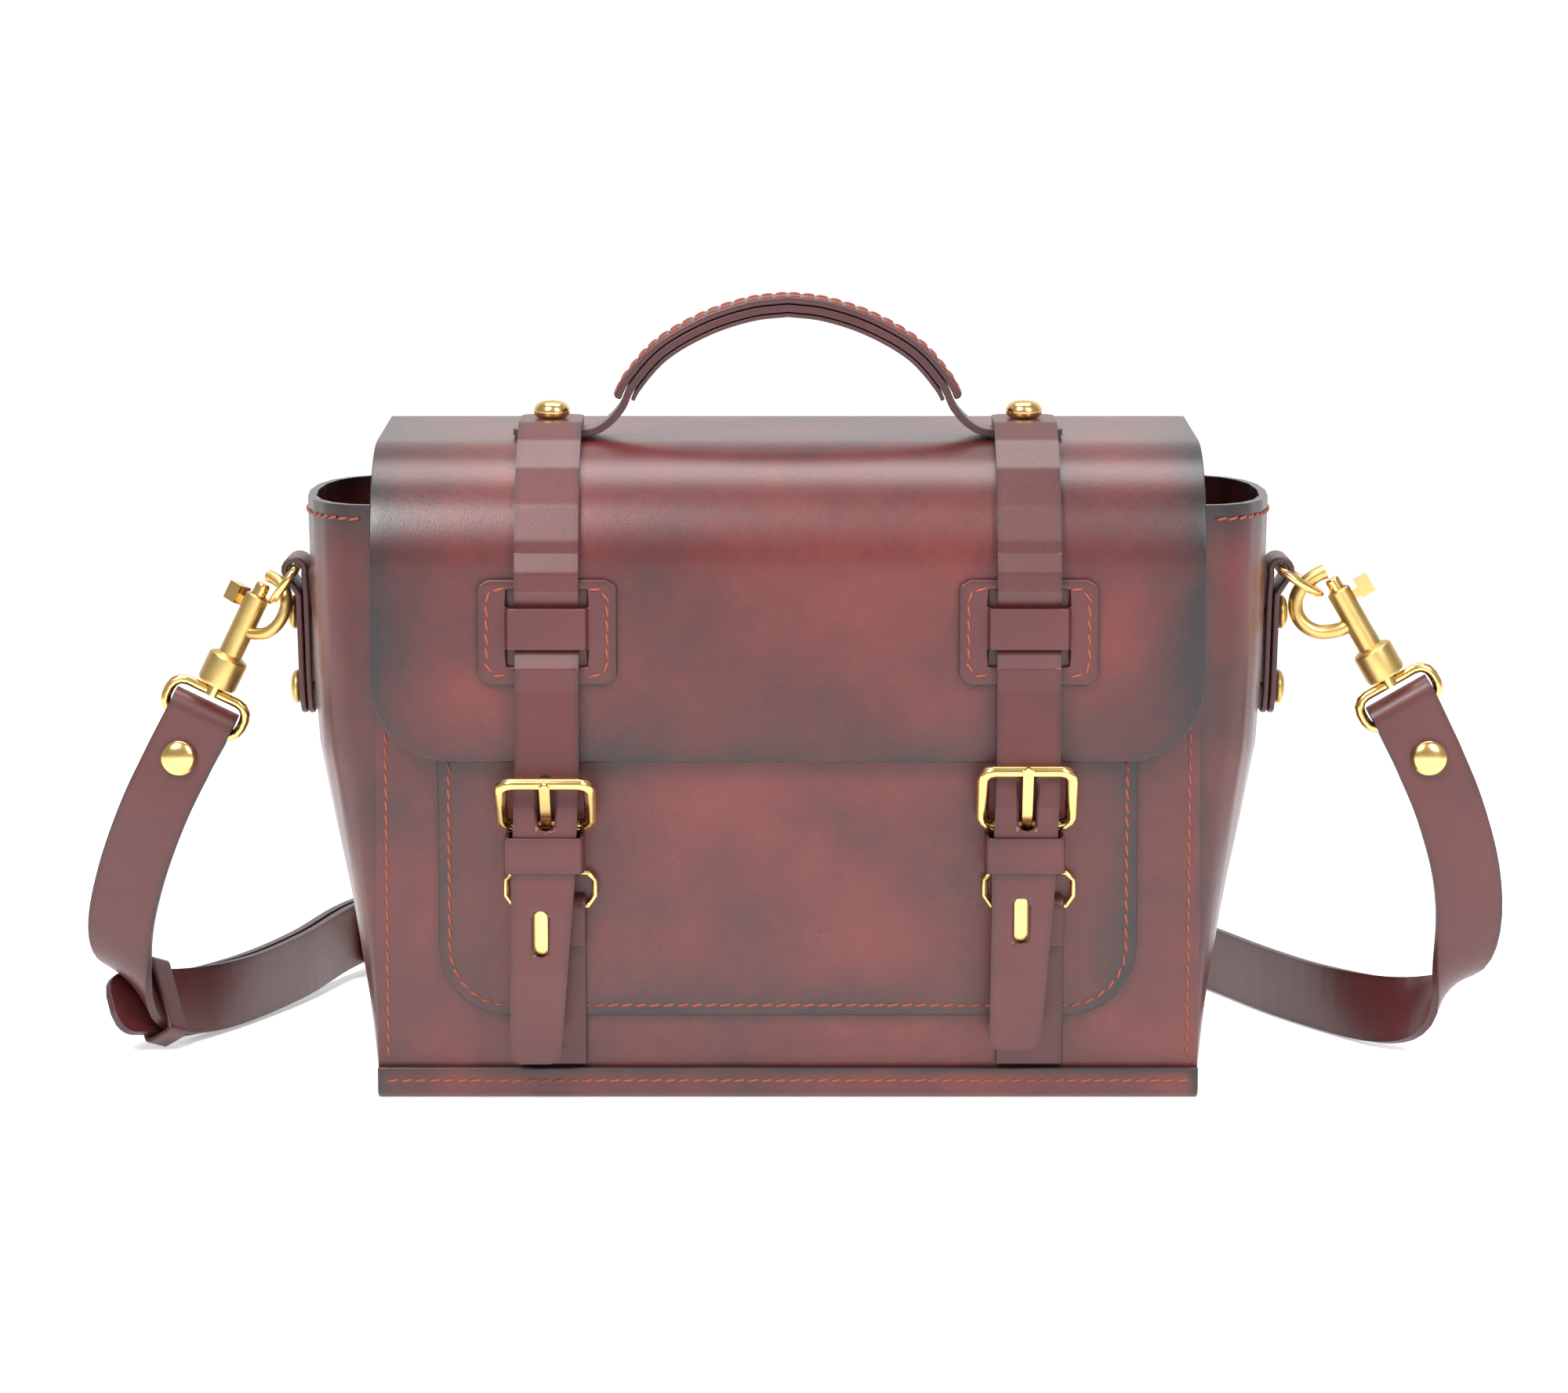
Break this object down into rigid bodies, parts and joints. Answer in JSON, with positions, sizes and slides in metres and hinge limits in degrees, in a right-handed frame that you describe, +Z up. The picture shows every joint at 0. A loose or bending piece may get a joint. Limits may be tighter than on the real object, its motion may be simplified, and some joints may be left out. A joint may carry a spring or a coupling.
{
  "type": "satchel bag",
  "caption": "Structured leather satchel with a hinged flap, top handle, buckled closure straps, front pocket, side rings with trigger snap hooks and a clip-on shoulder strap.",
  "frame": {"origin": "middle of the flat underside of the base", "axes": "+X to the right seen from the front, -Y the front with the buckles, +Z up"},
  "size_m": [0.4184, 0.3063, 0.2286],
  "materials": {
    "burnished_leather": "hand burnished oxblood leather, dark edges, waxy semi-gloss",
    "strap_leather": "even oxblood strap leather with painted edges",
    "brass": "polished",
    "spring_steel": "drawn wire"
  },
  "bodies": {
    "root": {"base_panel": "burnished_leather", "front_panel": "burnished_leather", "back_panel": "burnished_leather", "front_pocket": "burnished_leather", "shoulder_strap_short": "strap_leather", "shoulder_strap_long": "strap_leather", "shoulder_buckle": "brass", "shoulder_keeper": "strap_leather", "shoulder_stud_left": "brass", "shoulder_stud_right": "brass", "shoulder_stud_back": "brass", "gusset_left": "burnished_leather", "lower_strap_left": "strap_leather", "clasp_ring_left": "brass", "side_tab_left": "strap_leather", "tab_rivet_left_upper": "brass", "tab_rivet_left_lower": "brass", "swivel_eye_left": "brass", "gusset_right": "burnished_leather", "lower_strap_right": "strap_leather", "clasp_ring_right": "brass", "side_tab_right": "strap_leather", "tab_rivet_right_upper": "brass", "tab_rivet_right_lower": "brass", "swivel_eye_right": "brass"},
    "flap": {"flap": "burnished_leather", "handle_strap": "strap_leather", "handle_grip": "strap_leather", "handle_lining": "strap_leather", "keeper_patch_left": "strap_leather", "closure_strap_left": "strap_leather", "top_stud_left": "brass", "buckle_chape_left": "strap_leather", "keeper_loop_left": "strap_leather", "clasp_hook_left": "brass", "keeper_patch_right": "strap_leather", "closure_strap_right": "strap_leather", "top_stud_right": "brass", "buckle_chape_right": "strap_leather", "keeper_loop_right": "strap_leather", "clasp_hook_right": "brass"},
    "buckle_left": {"buckle_left": "brass"},
    "prong_left": {"prong_left": "brass"},
    "d_ring_left": {"d_ring_left": "brass"},
    "hook_left": {"hook_body_left": "brass", "hook_spring_left": "spring_steel"},
    "bolt_left": {"hook_bolt_left": "brass"},
    "buckle_right": {"buckle_right": "brass"},
    "prong_right": {"prong_right": "brass"},
    "d_ring_right": {"d_ring_right": "brass"},
    "hook_right": {"hook_body_right": "brass", "hook_spring_right": "spring_steel"},
    "bolt_right": {"hook_bolt_right": "brass"}
  },
  "joints": [
    {"name": "flap_hinge", "type": "hinge", "parent": "root", "child": "flap", "pos_m": [0, 0.05, 0.168], "axis": [-1, 0, 0], "range_deg": [0, 130]},
    {"name": "buckle_tilt_left", "type": "hinge", "parent": "flap", "child": "buckle_left", "pos_m": [-0.06835, -0.0585, 0.0802], "axis": [1, 0, 0], "range_deg": [-15, 5]},
    {"name": "prong_lift_left", "type": "hinge", "parent": "buckle_left", "child": "prong_left", "pos_m": [-0.06835, -0.0585, 0.0802], "axis": [1, 0, 0], "range_deg": [0, 5]},
    {"name": "d_ring_swing_left", "type": "hinge", "parent": "root", "child": "d_ring_left", "pos_m": [-0.1436, 0, 0.1473], "axis": [0, 1, 0], "range_deg": [-2, 0]},
    {"name": "hook_swivel_left", "type": "hinge", "parent": "root", "child": "hook_left", "pos_m": [-0.1659, 0, 0.1165], "axis": [0.4352, 0, 0.9003], "range_deg": [-3, 3]},
    {"name": "bolt_slide_left", "type": "slide", "parent": "hook_left", "child": "bolt_left", "axis": [-0.4352, 0, -0.9003], "range_m": [0, 0.0045], "stiffness_N_per_m": 300, "springref_m": -0.002, "deforming": ["hook_spring_left"]},
    {"name": "buckle_tilt_right", "type": "hinge", "parent": "flap", "child": "buckle_right", "pos_m": [0.06765, -0.0585, 0.0802], "axis": [1, 0, 0], "range_deg": [0, 15]},
    {"name": "prong_lift_right", "type": "hinge", "parent": "buckle_right", "child": "prong_right", "pos_m": [0.06765, -0.0585, 0.0802], "axis": [1, 0, 0], "range_deg": [0, 10]},
    {"name": "d_ring_swing_right", "type": "hinge", "parent": "root", "child": "d_ring_right", "pos_m": [0.1436, 0, 0.1473], "axis": [0, 1, 0], "range_deg": [-5, 10]},
    {"name": "hook_swivel_right", "type": "hinge", "parent": "root", "child": "hook_right", "pos_m": [0.1735, 0, 0.119], "axis": [-0.5, 0, 0.866], "range_deg": [-15, 15]},
    {"name": "bolt_slide_right", "type": "slide", "parent": "hook_right", "child": "bolt_right", "axis": [0.5, 0, -0.866], "range_m": [0, 0.0045], "stiffness_N_per_m": 300, "springref_m": -0.002, "deforming": ["hook_spring_right"]}
  ]
}
